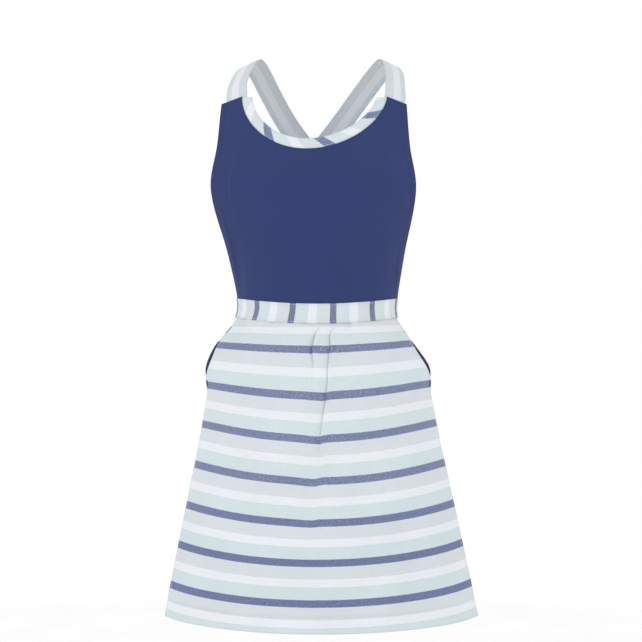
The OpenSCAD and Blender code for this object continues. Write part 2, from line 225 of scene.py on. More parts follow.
class Nodes:
    """Short names for building one material's nodes."""

    def __init__(self, name):
        self.material = bpy.data.materials.new(name)
        self.material.use_nodes = True
        self.tree = self.material.node_tree

    def add(self, kind, settings=None, **inputs):
        node = self.tree.nodes.new("ShaderNode" + kind)
        for key, value in (settings or {}).items():
            setattr(node, key, value)
        for key, value in inputs.items():
            self.feed(node, int(key[1:]) if key[0] == "_" else key, value)
        return node

    def feed(self, node, key, value):
        if isinstance(value, bpy.types.NodeSocket):
            self.tree.links.new(value, node.inputs[key])
        else:
            node.inputs[key].default_value = value

    def math(self, operation, a, b=0.0, c=0.0):
        return self.add("Math", {"operation": operation}, _0=a, _1=b, _2=c).outputs[0]

    def product(self, value, *others):
        for other in others:
            value = self.math("MULTIPLY", value, other)
        return value

    def uv(self, name):
        return self.add("UVMap", {"uv_map": name}).outputs[0]

    def spot(self):
        return self.add("TexCoord").outputs["Object"]

    def split(self, vector):
        return self.add("SeparateXYZ", None, _0=vector).outputs

    def stretch(self, vector, by):
        return self.add("VectorMath", {"operation": "MULTIPLY"}, _0=vector, _1=by).outputs[0]

    def noise(self, vector, by, detail=2.0):
        return self.add("TexNoise", {"noise_dimensions": "2D"}, Vector=self.stretch(vector, by),
                        Scale=1.0, Detail=detail).outputs[0]

    def threads(self, weave, pitch):
        """A wave along each way of the cloth, with one turn to a thread."""
        turns = 2 * math.pi / (pitch * MM)
        place = self.add("VectorMath", {"operation": "SCALE"}, _0=weave, Scale=turns).outputs[0]
        return [self.math("SINE", axis) for axis in self.split(place)[:2]]

    def blend(self, kind, factor, a, b):
        settings = {"data_type": "RGBA", "blend_type": kind}
        return self.add("Mix", settings, _0=factor, _6=a, _7=b).outputs[2]

    def range(self, value, low, high):
        """A noise value of about 0.3 to 0.7, spread over low to high."""
        ends = {"From Min": 0.3, "From Max": 0.7, "To Min": low, "To Max": high}
        return self.add("MapRange", None, Value=value, **ends).outputs[0]

    def ramp(self, value, stops):
        node = self.add("ValToRGB", None, Fac=value)
        band = node.color_ramp
        while len(band.elements) > 1:
            band.elements.remove(band.elements[-1])
        band.elements[0].position, band.elements[0].color = stops[0]
        for place, colour in stops[1:]:
            band.elements.new(place).color = colour
        return node.outputs[0]

    def finish(self, colour, shade, roughness, bump=None, **constants):
        """Connects the shader. bump is its strength, its distance in mm and its height."""
        shader = self.tree.nodes["Principled BSDF"]
        if shade is not None:
            tint = self.add("CombineColor", None, Red=shade, Green=shade, Blue=shade)
            colour = self.blend("MULTIPLY", 1.0, colour, tint.outputs[0])
        self.feed(shader, "Base Color", colour)
        self.feed(shader, "Roughness", roughness)
        if bump:
            strength, distance, height = bump
            node = self.add("Bump", None, Strength=strength, Distance=distance * MM, Height=height)
            self.feed(shader, "Normal", node.outputs[0])
        for key, value in constants.items():
            shader.inputs[key.replace("_", " ")].default_value = value
        return self.material


THREAD_PITCH = 1.15
WEAVE_BUMP = 0.16
# How many times a metre each kind of unevenness repeats, across and along the cloth
WARP_GRAIN, WEFT_GRAIN = (1500, 420, 1), (420, 1500, 1)
SLUB_GRAIN, CLOUD_GRAIN, STRIPE_GRAIN = (60, 420, 1), (14, 11, 1), (700, 300, 1)


def woven(name, repeat, flecks, fleck_colour=(243, 246, 249), roughness=0.88):
    """The slot name and the material of a plain-woven cotton. repeat is one colour, or the
    colour stops of one repeat of its stripes."""
    n = Nodes(name)
    weave = n.uv("weave")
    warp, weft = n.noise(weave, WARP_GRAIN, 1.0), n.noise(weave, WEFT_GRAIN, 1.0)
    slub, cloud = n.noise(weave, SLUB_GRAIN), n.noise(weave, CLOUD_GRAIN)
    across, fleck_fade = n.split(n.uv("stripe"))[:2]
    if isinstance(repeat, tuple):
        base = linear(repeat)
    else:
        ragged = n.math("MULTIPLY_ADD", n.noise(weave, STRIPE_GRAIN, 0.0), 0.012, -0.006)
        base = n.ramp(n.math("FRACT", n.math("ADD", across, ragged)), repeat)
    fleck = n.math("MAXIMUM", n.range(warp, -0.5, 1), n.range(weft, -0.5, 1))
    fleck = n.product(fleck, fleck, n.math("MULTIPLY_ADD", fleck_fade, -flecks, flecks))
    # painted light and shade on the weave: lighter on the threads' crowns, darker in the gaps between them
    over = n.product(*n.threads(weave, THREAD_PITCH))
    # painted shade: a point attribute on the cloth darkens its colour by 14% for each unit
    seam = n.add("Attribute", {"attribute_name": "seam"}).outputs["Fac"]
    shade = n.product(n.range(slub, 0.98, 1.015), n.range(cloud, 0.98, 1.015),
                      n.math("MULTIPLY_ADD", over, 0.035, 1.0), n.range(weft, 0.98, 1.015),
                      n.math("MULTIPLY_ADD", seam, -0.14, 1.0))
    height = n.math("MULTIPLY_ADD", over, 0.35, n.math("MULTIPLY", weft, 0.6))
    height = n.math("MULTIPLY_ADD", slub, 0.9, height)
    return name, n.finish(n.blend("MIX", fleck, base, linear(fleck_colour)), shade,
                          n.range(slub, roughness - 0.05, roughness + 0.05),
                          (0.55, WEAVE_BUMP, height),
                          Sheen_Weight=0.06, Sheen_Roughness=0.6, Specular_IOR_Level=0.15)


STRIPE_NAVY = (90, 102, 146)
STRIPE_WHITE = (227, 231, 235)
PALE_WARM = (207, 214, 218)
PALE_AQUA = (203, 217, 220)
BAND_NAVY = (90, 97, 132)


def stripes(navy, navy_half=0.092, white_half=0.098, soft=0.006):
    """One repeat of the striped cloth: a navy stripe at its start, a white one halfway."""
    navy, white, warm, aqua = (linear(c) for c in (navy, STRIPE_WHITE, PALE_WARM, PALE_AQUA))
    return [(0.0, navy), (navy_half - soft, navy), (navy_half + soft, aqua),
            (0.5 - white_half - soft, aqua), (0.5 - white_half + soft, white),
            (0.5 + white_half - soft, white), (0.5 + white_half + soft, warm),
            (1 - navy_half - soft, warm), (1 - navy_half + soft, navy)]


NAVY_COTTON = woven("navy_cotton", (46, 59, 107), 0.05, (110, 120, 160), 0.9)
STRIPED = woven("striped_cotton", stripes(STRIPE_NAVY), 0.34)
BAND_STRIPED = woven("waistband_cotton", stripes(BAND_NAVY, 0.078, 0.105), 0.32)
POCKET_COTTON = woven("pocket_cotton", (42, 46, 94), 0.04, (90, 98, 140))


def sewing_thread(name, colour, sheen):
    n = Nodes(name)
    twist = n.noise(n.spot(), (2600, 1900, 2300), 1.0)
    return n.finish(linear(colour), n.range(twist, 0.86, 1.05), n.range(twist, 0.6, 0.75),
                    (0.5, 0.08, twist), Sheen_Weight=sheen)


PALE_THREAD = sewing_thread("pale_thread", (226, 231, 236), 0.2)
NAVY_THREAD = sewing_thread("navy_thread", (44, 56, 104), 0.04)
PEARL = (236, 235, 228)


def button_resin():
    """Pearly resin: cloudy, a little warm, and glossy."""
    n = Nodes("button_resin")
    place = n.stretch(n.spot(), (160, 160, 420))
    cloud = n.add("TexNoise", None, Vector=place, Scale=1.0, Detail=4.0, Distortion=0.8).outputs[0]
    colours = [(0.3, linear((214, 214, 206))), (0.5, linear(PEARL)), (0.7, linear((246, 247, 245)))]
    return n.finish(n.ramp(cloud, colours), None, n.range(cloud, 0.22, 0.36), (0.15, 0.05, cloud),
                    Coat_Weight=0.3)


def label_satin():
    """Woven satin tape with a fine rib and a plain border line near each edge."""
    n = Nodes("label_tape")
    weave = n.uv("weave")
    pearl, line = linear(PEARL), linear((120, 130, 165))
    borders = [(0.0, pearl), (0.085, pearl), (0.09, line), (0.12, line), (0.125, pearl),
               (0.875, pearl), (0.88, line), (0.91, line), (0.915, pearl)]
    base = n.ramp(n.math("FRACT", n.split(n.uv("stripe"))[0]), borders)
    rib = n.threads(weave, 0.7)[1]
    return "label_tape", n.finish(base, n.range(n.noise(weave, (300, 900, 1)), 0.95, 1.02),
                                  n.range(n.noise(weave, (40, 40, 1)), 0.42, 0.55),
                                  (0.4, 0.06, rib), Sheen_Weight=0.3)


# ---- meshes ----


def new_object(name, vertices, faces, material):
    mesh = bpy.data.meshes.new(name)
    mesh.from_pydata((vertices * MM).tolist(), [], faces)
    mesh.polygons.foreach_set("use_smooth", np.ones(len(mesh.polygons), bool))
    mesh.materials.append(material)
    thing = bpy.data.objects.new(name, mesh)
    bpy.context.scene.collection.objects.link(thing)
    return thing


def uv_map(mesh, name, per_vertex):
    loops = np.empty(len(mesh.loops), np.int64)
    mesh.loops.foreach_get("vertex_index", loops)
    layer = mesh.uv_layers.new(name=name)
    layer.data.foreach_set("uv", per_vertex[loops].astype(np.float32).ravel())


def ride(thing, body, span):
    """Moves the piece with a body. A piece with a span, which reaches between the apron and that body,
    stays where it is instead, with its transform baked into its mesh.
    """
    if span is None:
        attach(thing, body)
    else:
        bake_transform(thing)


def sharpen(mesh, top_count):
    """Keeps the shading of a sheet's two sides apart from that of its cut edge."""
    ends = np.empty(len(mesh.edges) * 2, np.int64)
    mesh.edges.foreach_get("vertices", ends)
    ends = ends.reshape(-1, 2)
    crossing = (ends[:, 0] < top_count) != (ends[:, 1] < top_count)
    on_rim = np.zeros(len(mesh.vertices), bool)
    on_rim[ends[crossing].ravel()] = True
    field = mesh.attributes.new("sharp_edge", "BOOLEAN", "EDGE")
    field.data.foreach_set("value", on_rim[ends].all(1) & ~crossing)


def cloth(name, nodes, middle, stripe, weave, fabric, thick=0.6, seam=0.0, keep=None, fleck_fade=0.0,
          body="apron", span=None):
    """A closed sheet of cloth over a grid of points, in place of CAD nodes.

    middle is the grid of the cloth's middle, stripe its place in the stripe repeat, weave its
    place on the flat cloth in mm, and fabric a slot name and a material. The argument after thick
    is painted shade drawn into the cloth's colour, about 1 at an edge, keep says which cells of
    the grid are cloth, and the argument after keep thins the yarn's flecks: 0 is flecked, 1 is plain.
    """
    slot, material = fabric
    nu, nv = middle.shape[:2]
    normal = unit(np.cross(np.gradient(middle, axis=0), np.gradient(middle, axis=1)))
    half = normal * np.broadcast_to(thick, (nu, nv))[..., None] / 2
    vertices = np.concatenate([(middle + half).reshape(-1, 3), (middle - half).reshape(-1, 3)])
    keep = np.ones((nu - 1, nv - 1), bool) if keep is None else keep
    number = np.arange(nu * nv).reshape(nu, nv)
    a, b, c, d = number[:-1, :-1], number[1:, :-1], number[1:, 1:], number[:-1, 1:]
    under = nu * nv
    top = np.stack([a, b, c, d], -1)[keep]
    faces = [top, top[:, ::-1] + under]
    padded = np.pad(keep, 1)
    for p, q, beside in ((d, a, padded[:-2, 1:-1]), (b, c, padded[2:, 1:-1]),
                         (a, b, padded[1:-1, :-2]), (c, d, padded[1:-1, 2:])):
        rim = keep & ~beside
        faces.append(np.stack([q[rim], p[rim], p[rim] + under, q[rim] + under], -1))
    used, faces = np.unique(np.concatenate(faces), return_inverse=True)
    thing = new_object(name, vertices[used], faces.reshape(-1, 4).tolist(), material)

    def on_vertices(*fields):
        one_side = np.stack([np.broadcast_to(f, (nu, nv)) for f in fields], -1)
        return np.concatenate([one_side.reshape(under, -1)] * 2)[used]

    uv_map(thing.data, "weave", on_vertices(weave[..., 0], weave[..., 1]) * MM)
    uv_map(thing.data, "stripe", on_vertices(stripe, fleck_fade))
    field = thing.data.attributes.new("seam", "FLOAT", "POINT")
    field.data.foreach_set("value", on_vertices(seam).ravel().astype(np.float32))
    sharpen(thing.data, len(used) // 2)
    ride(thing, body, span)
    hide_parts(*nodes)
    return thing


def flat_grid(middle):
    """Place of each point on the flat cloth: distance along each way of the grid, in mm."""
    return np.stack([travel(middle), travel(np.swapaxes(middle, 0, 1)).T], -1)


# A stitch's rings: place along it, thickness, and height above the cloth
STITCH_RINGS = np.array([-0.5, -0.36, 0.0, 0.36, 0.5])
STITCH_GIRTH = np.array([0.3, 0.85, 1.0, 0.85, 0.3])
STITCH_LIFT = np.array([-0.7, 0.15, 0.45, 0.15, -0.7])
STITCH_SIDES = 6
STITCH_SHARE = 0.78  # how much of the pitch one stitch takes up


def stitches(name, lines, thread=PALE_THREAD, pitch=3.0, size=0.22,
             body="apron", span=None):
    """Rows of machine stitches. Each line is (points, outward directions) on the cloth's face."""
    centre, along, out = [], [], []
    for points, outward in lines:
        far = travel(points)
        count = max(2, int(far[-1] / pitch))
        places = (np.arange(count) + 0.5) * far[-1] / count

        def at(values, shift=0.0):
            return np.stack([np.interp(places + shift, far, values[:, k]) for k in range(3)], -1)

        centre.append(at(points))
        along.append(unit(at(points, 0.3) - at(points, -0.3)))
        out.append(unit(at(outward)))
    centre, along, out = (np.concatenate(x) for x in (centre, along, out))
    across = unit(np.cross(along, out))
    out = np.cross(across, along)
    turn = np.arange(STITCH_SIDES) / STITCH_SIDES * 2 * np.pi
    girth = STITCH_GIRTH * size
    ring = (np.einsum("sk,r->srk", along, STITCH_RINGS * (pitch * STITCH_SHARE))
            + np.einsum("sk,r->srk", out, STITCH_LIFT * size))
    round_ = (np.einsum("sk,r,t->srtk", across, girth, np.cos(turn))
              + np.einsum("sk,r,t->srtk", out, girth, np.sin(turn)))
    vertices = centre[:, None, None] + ring[:, :, None] + round_
    number = np.arange(len(girth) * STITCH_SIDES).reshape(len(girth), STITCH_SIDES)
    after = np.roll(number, -1, axis=1)
    one = np.stack([number[:-1], after[:-1], after[1:], number[1:]], -1).reshape(-1, 4).tolist()
    one += [number[0, ::-1].tolist(), number[-1].tolist()]
    faces = [[v + s * number.size for v in f] for s in range(len(centre)) for f in one]
    thing = new_object(name, vertices.reshape(-1, 3), faces, thread)
    ride(thing, body, span)
    return thing


def seam_line(surface, u, v, out, du=0.01, dv=0.01):
    """Points and outward directions along a line of a surface, for a row of stitches."""
    u, v = np.broadcast_arrays(u, v)
    normal = unit(np.cross(surface(u + du, v) - surface(u - du, v),
                           surface(u, v + dv) - surface(u, v - dv)))
    return surface(u, v) + normal * out, normal


def both_faces(surface, u, v, out, du, dv):
    """The same line of stitches on a sheet's two faces."""
    return [seam_line(surface, u, v, out * face, du, dv) for face in (1, -1)]


def near_edge(distance, reach):
    """1 at an edge, falling to 0 at a distance from it."""
    return 1 - ease(distance / reach)


def grid_of(surface, us, vs):
    u, v = np.meshgrid(us, vs, indexing="ij")
    return surface(u, v), u, v


def spaced(*runs):
    """Joins runs of (from, to, step) into one rising list without repeats."""
    return np.unique(np.round(np.concatenate(
        [np.linspace(a, b, max(2, int(round((b - a) / step)) + 1)) for a, b, step in runs]), 6))


# ---- bib ----

NECK_SHARE = 0.8
TOP_DROP = 11
BIB_EASE = 0.9  # degrees by which the left armhole's edge lies further out
CLOTH_MID = 0.4  # the middle of one layer of cloth, outside the skin
UNDER = -0.8  # the middle of a layer on the inside
ARM_HEM = 9.0  # the armhole's stitching lies this far from its edge


def neckline(turn, inward=0.0):
    s = sin_d(turn)
    u = (1 - np.sqrt(1 - 4 * NECK_SKEW * (s - NECK_SKEW))) / (2 * NECK_SKEW)
    dip = NECK_DIP * np.maximum(cos_d(turn), 0) ** NECK_ROUND
    out = unit(np.stack([s / NECK_W * 2, -cos_d(turn) / NECK_DIP], -1))
    return np.stack([NECK_W / 2 * u, -BIB_DROP - dip], -1) - out * np.asarray(inward)[..., None]


def bib_top(t):
    corner_z = -BIB_DROP - TOP_DROP
    corner_x = half_width(corner_z) * sin_d(bib_angle(corner_z))
    curve = neckline(90 * np.clip(t / NECK_SHARE, -1, 1))
    s = np.clip((np.abs(t) - NECK_SHARE) / (1 - NECK_SHARE), 0, 1)
    x = np.where(s > 0, np.sign(t) * mix(NECK_W / 2, corner_x, s), curve[..., 0])
    return x, np.where(s > 0, -BIB_DROP - TOP_DROP * s, curve[..., 1])


def bib_place(t, v):
    """Skin angle and height of the bib at column t, -1 to 1, and share v of its height."""
    x, top = bib_top(t)
    share = skin_angle(x, top) / bib_angle(top)
    low = WAIST_Z - WAIST_DIP * 0.25 - SEAM + WAIST_DIP * 0.6 * share**2
    z = mix(low, top, v)
    wider = BIB_EASE * np.maximum(share, 0) ** 6 * (1 - v**8)
    return share * bib_angle(z) + wider, z


def bib_edge_distance(t, v):
    angle, z = bib_place(t, v)
    edge = bib_angle(z)
    return np.radians(edge - np.abs(angle)) * half_width(z) * 0.86


def bib(t, v):
    angle, z = bib_place(t, v)
    side = bib_edge_distance(t, v)
    above = z - WAIST_Z - 4
    # pulls that rise from the waist seam beside each armhole, and the cloth's own unevenness
    pulls = (3.0 * bell((side - 15) / 2.8) * hump(above / 150) * (t < 0)
             + 2.0 * bell((side - 13) / 3.2) * hump(above / 90) * (t > 0))
    drape = 0.9 * soft_noise(t * 3.2, z / 70, 3) * hump(v) * ease(side / 30)
    # tiny gathers where the bib is sewn into the waistband
    gathers = 0.35 * soft_noise(t * 26, z / 60, 4) * bell((WAIST_Z + 5 - z) / 12)
    hem = 0.5 * near_edge(side, 14) - 0.2 * bell((side - ARM_HEM) / 1.1)
    return off_skin(angle, z, CLOTH_MID + pulls + drape + gathers + hem)


points, t, v = grid_of(bib, np.linspace(-1, 1, 161), np.linspace(0, 1, 131))
drop = (1 - v) * (bib_top(t)[1] - WAIST_Z)
arm = bib_edge_distance(t, v)
# painted shade at the armhole edges, at the bottom where the bib goes into the waistband, and along the
# armhole stitching
seam = np.maximum.reduce([near_edge(arm, 3) * 0.9, near_edge(drop, 3) * 0.7,
                          0.25 * bell((arm - ARM_HEM) / 1.2)])
bib_piece = cloth("bib", ["bib_panel"], points, 0.5, flat_grid(points), NAVY_COTTON, 0.7, seam)

down, edge = np.linspace(0.055, 0.985, 220), np.linspace(0.5, 1, 400)
lines = []
for side in (LEFT, RIGHT):
    sewn = [np.interp(-ARM_HEM, -bib_edge_distance(side * edge, np.full(400, v0)), edge) for v0 in down]
    lines.append(seam_line(bib, side * np.array(sewn), down, 0.42))
lines.append(seam_line(bib, np.linspace(-0.79, 0.79, 300), 0.988, 0.42, dv=0.004))
bib_sewing = stitches("bib_stitching", lines, NAVY_THREAD, size=0.2)

# ---- neck band ----

BAND_TURN = 88
BIAS_REPEAT = 88.0
BIAS_PULL = 6e-6  # the band is stretched less towards its left end
NAVY_TURN = 14.3  # where the band's middle navy stripe crosses its middle line


def neck_band(turn, w):
    place = neckline(turn, w)
    angle = skin_angle(place[..., 0], place[..., 1])
    roll = 1.35 * np.sqrt(hump((w + 1) / (NECK_BAND_W + 1.4)))
    ripple = 0.3 * soft_noise(turn / 9, w / 14, 11) * hump((w + 1) / (NECK_BAND_W + 2))
    return off_skin(angle, place[..., 1], -0.95 + roll + ripple)


points, turn, w = grid_of(neck_band, np.linspace(-BAND_TURN, BAND_TURN, 221),
                          spaced((-5, 0, 1.25), (0, NECK_BAND_W, 1.0)))
arc = np.linspace(-90, 90, 721)
run = travel(neckline(arc, NECK_BAND_W / 2))
along = np.interp(turn, arc, run) - np.interp(NAVY_TURN, arc, run)
along = along + (w - NECK_BAND_W / 2)
phase = along / BIAS_REPEAT + BIAS_PULL * np.maximum(along, 0) ** 2
# painted shade along both edges of the band: where it comes out from under the bib, and at its inner edge
seam = np.maximum(near_edge(NECK_BAND_W - w, 2.5) * 0.8, near_edge(np.abs(w), 2.5))
grain = flat_grid(points)
grain = np.stack([grain[..., 0] + grain[..., 1], grain[..., 0] - grain[..., 1]], -1) / math.sqrt(2)
piece = cloth("neck_binding", ["neck_band"], points, phase, grain, STRIPED, 0.9, seam)
turns = np.linspace(-BAND_TURN + 1, BAND_TURN - 1, 300)
sewing = stitches("neck_stitching", [seam_line(neck_band, turns, w0, 0.5, 0.2, 0.2)
                                     for w0 in (2.2, NECK_BAND_W - 2.0)], pitch=2.8)

# ---- armhole facings ----

FACING_W = 13
for side, label in SIDES:
    def facing(u, v):
        angle, z = bib_place(np.full(np.shape(v), float(side)), v)
        inner = angle - side * FACING_W / half_width(z) * 70
        ends = (inner, angle - side * 0.3)[::side]
        return off_skin(mix(*ends, u), z, UNDER + 0.15 * soft_noise(u * 3, z / 25, 21))

    points, u, v = grid_of(facing, np.linspace(0, 1, 10), np.linspace(0.06, 0.95, 110))
    fold_side = 1 - u if side == LEFT else u
    # painted shade along the facing's inner, folded edge
    piece = cloth("armhole_facing_cloth_" + label, ["armhole_facing_" + label], points, 0.5,
                  flat_grid(points), NAVY_COTTON, 0.6, near_edge(1 - fold_side, 0.2))

# ---- ribbons and shoulder straps ----


class Ribbon:
    """A flat ribbon along a path. Rows hold a place along it, a point and an outward direction."""

    def __init__(self, rows):
        self.rows = np.array(rows, float)
        self.first, self.last = self.rows[0, 0], self.rows[-1, 0]
        self.fine = np.linspace(self.first, self.last, 1200)
        self.far = travel(self.at(self.fine))
        self.length = self.far[-1]

    def at(self, s):
        return np.stack([on_curve(self.rows, s, k) for k in (1, 2, 3)], -1)

    def frame(self, s):
        """Directions along, across and out of the ribbon."""
        step = (self.last - self.first) / 200
        along = unit(self.at(np.minimum(self.last, s + step)) - self.at(np.maximum(self.first, s - step)))
        facing = np.stack([on_curve(self.rows, s, k) for k in (4, 5, 6)], -1)
        across = unit(np.cross(along, facing))
        return along, across, np.cross(across, along)

    def point(self, distance, across_by, out_by):
        s = np.interp(distance, self.far, self.fine)
        _, across, out = self.frame(s)
        return (self.at(s) + across * np.asarray(across_by)[..., None]
                + out * np.asarray(out_by)[..., None])


STRAP_T = 1.4
STRAP_ANGLE = 41
BUTTON_ANGLE = 113
GAP = 0.4
LAYER = 0.8
START_OUT = -3 * GAP - LAYER - STRAP_T / 2
END_OUT = 2 * LAYER + 3 * GAP + STRAP_T / 2


def strap_rows(side, lift):
    """The left strap's route, mirrored for the right one: from inside the bib over the
    shoulder, across the back and down to the waistband's other end."""
    def sewn(place, angle, z, out):
        angle = angle - (1.4 if side == RIGHT and z > WAIST_Z / 2 else 0)
        n = skin_normal(angle, z)
        return [place, *(skin(angle, z) + n * out - [skin_sway(z), 0, 0]), *n]

    rows = [
        sewn(0, STRAP_ANGLE - 4, -BIB_DROP - 24, START_OUT),
        sewn(14, STRAP_ANGLE - 3.5, -BIB_DROP - 11, START_OUT),
        sewn(28, STRAP_ANGLE - 3.5, -BIB_DROP + 3, START_OUT),
        [44, 120, -39, -40, 0.42, -0.68, 0.6],
        [68, 115, -19, -14, 0.42, -0.42, 0.8],
        [95, 106, 5, 0, 0.4, 0, 0.92],
        [125, 93, 31, -11, 0.36, 0.5, 0.8],
        [165, 73, 58, -40, 0.28, 0.82, 0.5],
        [215, 42, 79 + lift / 2, -86, 0.16, 0.96, 0.24],
        [280, 0, 93 + lift, -140, 0, 1, 0.08],
        [345, -42, 98 + lift / 2, -196, -0.16, 0.98, 0],
        [410, -73, 94, -255, -0.35, 0.94, -0.02],
        [475, -94, 81, -315, -0.58, 0.8, -0.05],
        sewn(520, -BUTTON_ANGLE - 8, TIE_Z + BAND_H / 2 + 4, END_OUT),
        sewn(550, -BUTTON_ANGLE, TIE_Z - BAND_H / 2 + 7, END_OUT),
    ]
    return [[r[0], side * r[1] + skin_sway(r[3]), r[2], r[3], side * r[4], r[5], r[6]]
            for r in np.array(rows, float)]


REPEAT = 59.0
STRAP_WHITE = 2.5  # the white stripe's middle lies this far outside the strap's middle line
# painted shade: the straps are drawn darker all over
STRAP_SHADE = 0.6
STRAP_LIFT = 2.2
SLIT_W = 2.6
SLIT_UP, SLIT_DOWN = 15.0, 2.5
EDGE_W = STRAP_W / 2 - 2.6  # the edge stitching's place across the strap

for side, label in SIDES:
    def strap_surface(distance, w):
        crown = -0.35 * (2 * w / STRAP_W) ** 4
        cup = 0.9 * soft_noise(distance / 60, w / 30, 31 + side) * hump(distance / length) * 0.8
        return strap.point(distance, w, crown + cup - 0.22 * bell((np.abs(w) - EDGE_W) / 0.8))

    def on_strap(distance, w, out=STRAP_T / 2):
        return seam_line(strap_surface, distance, w, out, 1, -0.5)

    strap = Ribbon(strap_rows(side, side * STRAP_LIFT))
    length = strap.length
    button = box_of("strap_button_" + ("right" if side == LEFT else "left")).mean(axis=0)
    nearest = np.argmin(np.linalg.norm(strap.at(strap.fine) - button, axis=1))
    hole_s, across = strap.far[nearest], strap.frame(strap.fine[nearest])[1]
    hole_w = float((button - strap.at(strap.fine[nearest])) @ across)
    slit_from, slit_to = hole_s - SLIT_UP, hole_s + SLIT_DOWN
    slit_low, slit_high = hole_w - SLIT_W / 2, hole_w + SLIT_W / 2
    ss = np.unique(np.concatenate([np.linspace(0, slit_from, 150),
                                   np.linspace(slit_from, slit_to, 14),
                                   np.linspace(slit_to, length, 8)]))
    ws = np.unique(np.round(np.concatenate([
        np.linspace(-STRAP_W / 2, slit_low, 10), np.linspace(slit_high, STRAP_W / 2, 10),
        [STRAP_W / 2 - 0.6, 0.6 - STRAP_W / 2]]), 4))[::-1]
    points, s, w = grid_of(strap_surface, ss, ws)
    cell_s, cell_w = (ss[1:] + ss[:-1]) / 2, (ws[1:] + ws[:-1]) / 2
    slit = (((cell_s > slit_from) & (cell_s < slit_to))[:, None]
            & (np.abs(cell_w - hole_w) < SLIT_W / 2)[None])
    thick = STRAP_T * np.sqrt(np.clip(1 - (2 * np.abs(w) / (STRAP_W + 0.6)) ** 12, 0.12, 1))
    # painted shade: darker all over, more at the edges and along the edge stitching
    seam = STRAP_SHADE + 0.6 * np.maximum(near_edge(STRAP_W / 2 - np.abs(w), 1.6),
                                         0.5 * bell((np.abs(w) - EDGE_W) / 0.9))
    phase = 0.5 - (side * w - STRAP_WHITE) / REPEAT
    piece = cloth("strap_" + label, ["shoulder_strap_" + label], points, phase,
                  np.stack([w, s], -1), STRIPED, thick, seam, keep=~slit)
    run_s = np.linspace(2, length - 3, 500)
    lines = [on_strap(run_s, w0, out) for w0 in (EDGE_W, -EDGE_W) for out in (STRAP_T / 2, -STRAP_T / 2)]
    lines.append(on_strap(length - 3, np.linspace(EDGE_W, -EDGE_W, 40)))
    sewing = stitches("strap_stitching_" + label, lines, size=0.24)
    # the buttonhole's edge is covered with close stitches that lie across it
    lines = []
    for s0 in np.arange(slit_from - 0.6, slit_to + 0.7, 0.55):
        for way in (-1, 1):
            w0 = hole_w + way * (SLIT_W / 2 + 0.1)
            lines.append(on_strap(s0, np.array([w0, w0 + way * 1.8])))
    for s0, reach in ((slit_from - 0.9, -1.4), (slit_to + 0.9, 1.4)):
        for w0 in np.arange(-2.6, 2.7, 0.5):
            lines.append(on_strap(np.array([s0, s0 + reach]), hole_w + w0))
    hole_sewing = stitches("buttonhole_" + label, lines, pitch=2.4, size=0.3)

# ---- waistband ----

WAIST_REPEAT = 60.8
WAIST_REPEAT_LEFT = 63.5  # the band is cut a little off the grain on this side
WAIST_NAVY_ANGLE = 11.1
TOP_STITCH = 2.4


def waistband(a, v):
    puff = 0.55 * np.sqrt(hump(v)) + 0.3 * soft_noise(a / 9, v * 2.2, 41) * hump(v)
    near_stitches = bell((v - 0.06) / 0.07) + bell((v - 0.94) / 0.07)
    pinch = 0.25 * soft_noise(a / 2.6, v * 3, 42) * near_stitches
    return off_skin(a, waist_top(a) - BAND_H * (1 - v), 1.5 + puff + pinch)


points, a, v = grid_of(waistband, np.linspace(-BAND_END, BAND_END, 489), np.linspace(0, 1, 17))
run_a = np.linspace(-BAND_END, BAND_END, 2000)
run = travel(off_skin(run_a, waist_top(run_a) - BAND_H / 2, 1.6))
around = np.interp(a, run_a, run) - np.interp(WAIST_NAVY_ANGLE, run_a, run)
edge = np.minimum(v, 1 - v) * BAND_H
# painted shade at the band's edges and along its two rows of stitching
seam = np.maximum(near_edge(edge, 2), 0.45 * bell((edge - TOP_STITCH) / 0.9))
grain = np.stack([around, v * BAND_H], -1)
phase = around / np.where(around > 0, WAIST_REPEAT_LEFT, WAIST_REPEAT)
piece = cloth("waistband", ["waistband_front"], points, phase, grain, BAND_STRIPED, 0.8, seam)
angles, ups = np.linspace(-BAND_END + 0.8, BAND_END - 0.8, 600), np.linspace(0.08, 0.92, 30)
lines = [seam_line(waistband, angle, up, 0.45, 0.3, 0.03) for angle, up in (
    (angles, TOP_STITCH / BAND_H), (angles, 1 - TOP_STITCH / BAND_H),
    (BAND_END - 1.2, ups), (1.2 - BAND_END, ups))]
sewing = stitches("waistband_stitching", lines)


def waistband_inside(a, v):
    uneven = 0.15 * soft_noise(a / 8, v * 2, 43)
    return off_skin(a, waist_top(a) - BAND_H * (1 - v), UNDER - 0.1 * hump(v) + uneven)


points, a, v = grid_of(waistband_inside, np.linspace(-BAND_END + 0.5, BAND_END - 0.5, 245),
                       np.linspace(0.02, 0.98, 9))
grain = np.stack([np.interp(a, run_a, run), v * BAND_H], -1)
# painted shade near the inside band's edges
piece = cloth("waistband_inside", ["waistband_lining"], points, grain[..., 0] / WAIST_REPEAT + 0.3,
              grain, BAND_STRIPED, 0.7, near_edge(np.minimum(v, 1 - v) * BAND_H, 2))

# ---- skirt ----

MOUTH_CUT = 9.5
MOUTH_WRAP = 12
MOUTH_H = 80
MOUTH_TOP = SKIRT_TOP_Z - 10
# Middles of the skirt's navy stripes above the hem, along the cloth at the front. The top one
# lies over the belly, where the tucks take up some of the cloth
NAVY_HEIGHTS = (43.5, 101.6, 159.4, 220.3, 282.2, 344.9, 414.3)
NAVY_STEP = 58.0  # from the end ones to the stripes just beyond them
SIDE_RISE = 15.0  # how far the stripes rise towards the sides, at the hips
HEM_RISE = 3.5  # the same, at the hem
STRIPE_TILT = 1.2  # how much higher they are on the left side than in front
HEM_STITCH = 25
